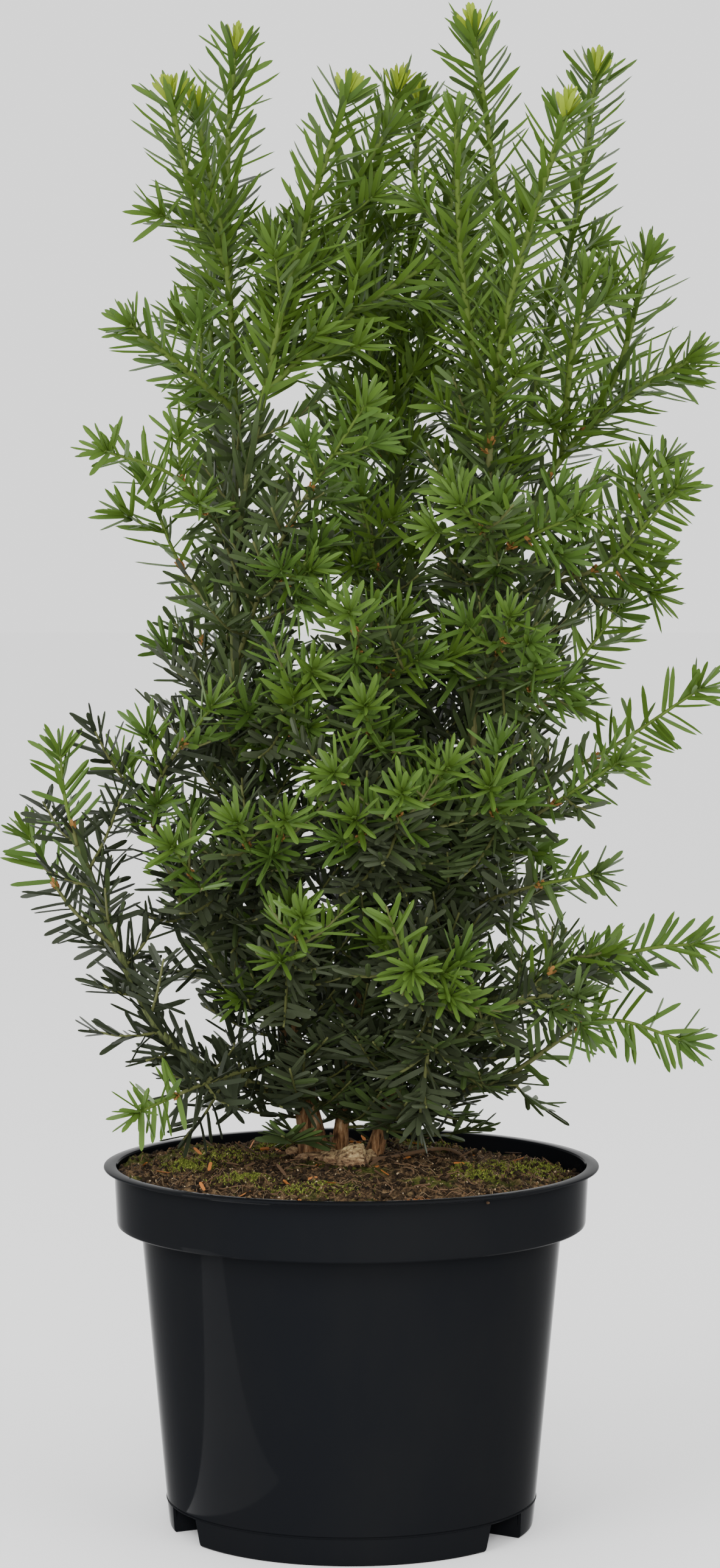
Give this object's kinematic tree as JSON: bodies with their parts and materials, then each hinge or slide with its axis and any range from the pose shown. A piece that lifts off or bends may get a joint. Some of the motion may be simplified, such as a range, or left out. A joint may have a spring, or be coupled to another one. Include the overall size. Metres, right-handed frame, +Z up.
{
  "type": "potted yew shrub",
  "caption": "Upright evergreen yew shrub with several stems and short flat needles on open ascending twigs, standing in its round black nursery pot filled with compost.",
  "frame": {"origin": "centre of the pot's flat underside, on the ground", "axes": "+Z up along the pot's axis; -Y is the side that the picture shows; +X to the right of that view"},
  "size_m": [0.3914, 0.3185, 0.8305],
  "materials": {
    "pot": "thin blue-black moulded plastic with a soft sheen, light scratches and a fine mould line near the foot",
    "compost": "dark brown moist peaty compost with flecks of bark and patches of moss",
    "bark": "reddish-brown stringy bark, greyer at the foot",
    "young_bark": "olive-brown young bark with orange-brown bud scales",
    "callus": "pale grey-tan callused wood",
    "needles": "flat pointed needles with a satin sheen, near-black green when old, bright yellow-green when new"
  },
  "bodies": {
    "root": {"bough_back_right": "young_bark", "bough_drooping_right": "young_bark", "bough_front_right": "young_bark", "bough_inner_left": "young_bark", "bough_low_left": "young_bark", "bough_low_right": "young_bark", "bough_middle_right": "young_bark", "bough_upper_left": "young_bark", "bough_upper_right": "young_bark", "leader_back_right": "needles", "leader_left_centre": "needles", "leader_tallest": "needles", "leaders_centre": "needles", "leaders_left": "needles", "leaders_right": "needles", "leaders_right_centre": "needles", "pot": "pot", "root_crown": "callus", "soil": "compost", "spray_back_centre_high": "needles", "spray_back_left": "needles", "spray_back_left_high": "needles", "spray_back_low": "needles", "spray_back_low_left": "needles", "spray_back_low_right": "needles", "spray_back_middle": "needles", "spray_back_right": "needles", "spray_back_right_high": "needles", "spray_centre_high": "needles", "spray_centre_upper": "needles", "spray_drooping_right": "needles", "spray_front_centre": "needles", "spray_front_centre_high": "needles", "spray_front_centre_low": "needles", "spray_front_left": "needles", "spray_front_low": "needles", "spray_front_low_left": "needles", "spray_front_low_right": "needles", "spray_front_right": "needles", "spray_front_right_high": "needles", "spray_front_upper": "needles", "spray_left_front": "needles", "spray_left_high": "needles", "spray_left_inner": "needles", "spray_left_low": "needles", "spray_left_middle": "needles", "spray_left_outer": "needles", "spray_left_tip": "needles", "spray_low_right": "needles", "spray_right_back": "needles", "spray_right_middle": "needles", "spray_right_outer": "needles", "spray_right_thin": "needles", "spray_upper_right": "needles", "stem_left": "bark", "stem_middle": "bark", "stem_right": "bark"}
  },
  "joints": []
}
